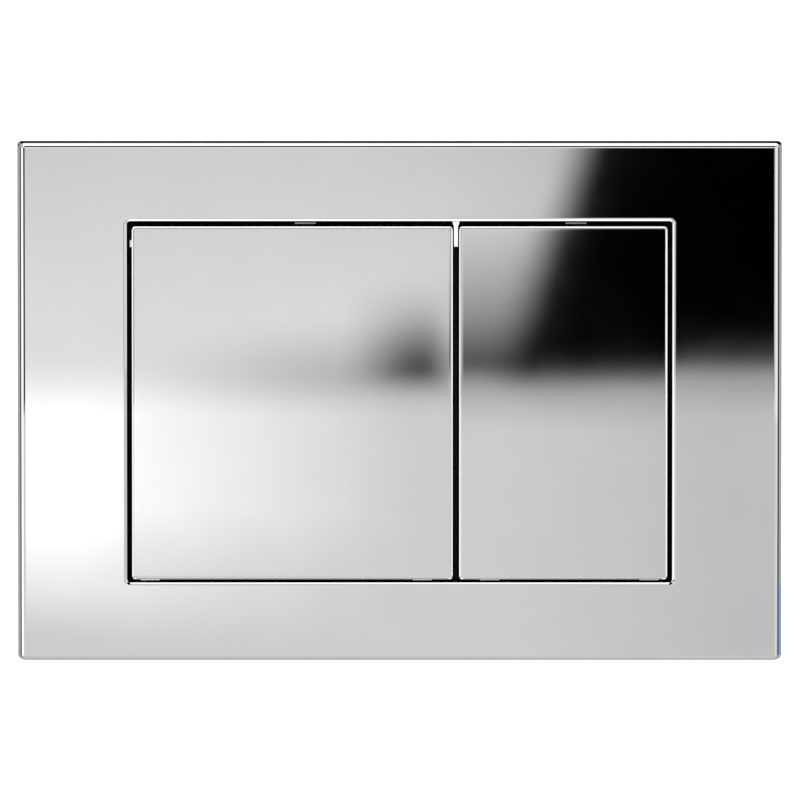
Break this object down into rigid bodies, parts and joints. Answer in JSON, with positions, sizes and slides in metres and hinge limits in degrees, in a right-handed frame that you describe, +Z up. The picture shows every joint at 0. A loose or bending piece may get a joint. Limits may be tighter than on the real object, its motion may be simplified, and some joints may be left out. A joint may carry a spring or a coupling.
{
  "type": "flush button plate",
  "caption": "Chrome dual flush plate for a concealed cistern: flush hinged large and small buttons in a rectangular bezel, on a black carrier with push rods and a wall frame.",
  "frame": {"origin": "middle of the face plate, on the wall's face, where the back of the plate's rim rests", "axes": "+X to the right as seen from the front, +Y into the wall, +Z up"},
  "size_m": [0.22, 0.091, 0.15],
  "materials": {
    "chrome_plate": "polished chrome plating on moulded ABS",
    "black_moulding": "fine textured black ABS",
    "stainless": "drawn stainless rod",
    "spring_steel": "rolled stainless strip",
    "white_acetal": "natural white acetal",
    "zinc_plated": "blue-white zinc plating",
    "buffer_rubber": "soft black rubber"
  },
  "bodies": {
    "fixed_set": {"face_plate": "chrome_plate", "button_carrier": "black_moulding", "mounting_frame": "black_moulding", "large_return_spring": "spring_steel", "small_return_spring": "spring_steel", "left_fixing_screw": "zinc_plated", "right_fixing_screw": "zinc_plated", "large_left_buffer": "buffer_rubber", "large_right_buffer": "buffer_rubber", "small_left_buffer": "buffer_rubber", "small_right_buffer": "buffer_rubber"},
    "large_button": {"large_button": "chrome_plate", "large_hinge_rod": "stainless"},
    "small_button": {"small_button": "chrome_plate", "small_hinge_rod": "stainless"},
    "large_push_rod": {"large_plunger": "white_acetal", "large_push_rod": "white_acetal", "large_lock_nut": "zinc_plated"},
    "small_push_rod": {"small_plunger": "white_acetal", "small_push_rod": "white_acetal", "small_lock_nut": "zinc_plated"}
  },
  "joints": [
    {"name": "large_button_press", "type": "hinge", "parent": "fixed_set", "child": "large_button", "pos_m": [0, 0.007, -0.0488], "axis": [-1, 0, 0], "range_deg": [0, 5], "stiffness_Nm_per_rad": 4, "springref_deg": -3.44},
    {"name": "large_rod_slide", "type": "slide", "parent": "fixed_set", "child": "large_push_rod", "axis": [0, 1, 0], "range_m": [0, 0.0053], "deforming": ["large_return_spring"]},
    {"name": "small_button_press", "type": "hinge", "parent": "fixed_set", "child": "small_button", "pos_m": [0, 0.007, -0.0488], "axis": [-1, 0, 0], "range_deg": [0, 5], "stiffness_Nm_per_rad": 4, "springref_deg": -3.44},
    {"name": "small_rod_slide", "type": "slide", "parent": "fixed_set", "child": "small_push_rod", "axis": [0, 1, 0], "range_m": [0, 0.0053], "deforming": ["small_return_spring"]}
  ],
  "couplings": [
    {"joint": "large_rod_slide", "follows": "large_button_press", "m_per_rad": 0.0599},
    {"joint": "small_rod_slide", "follows": "small_button_press", "m_per_rad": 0.0599}
  ]
}
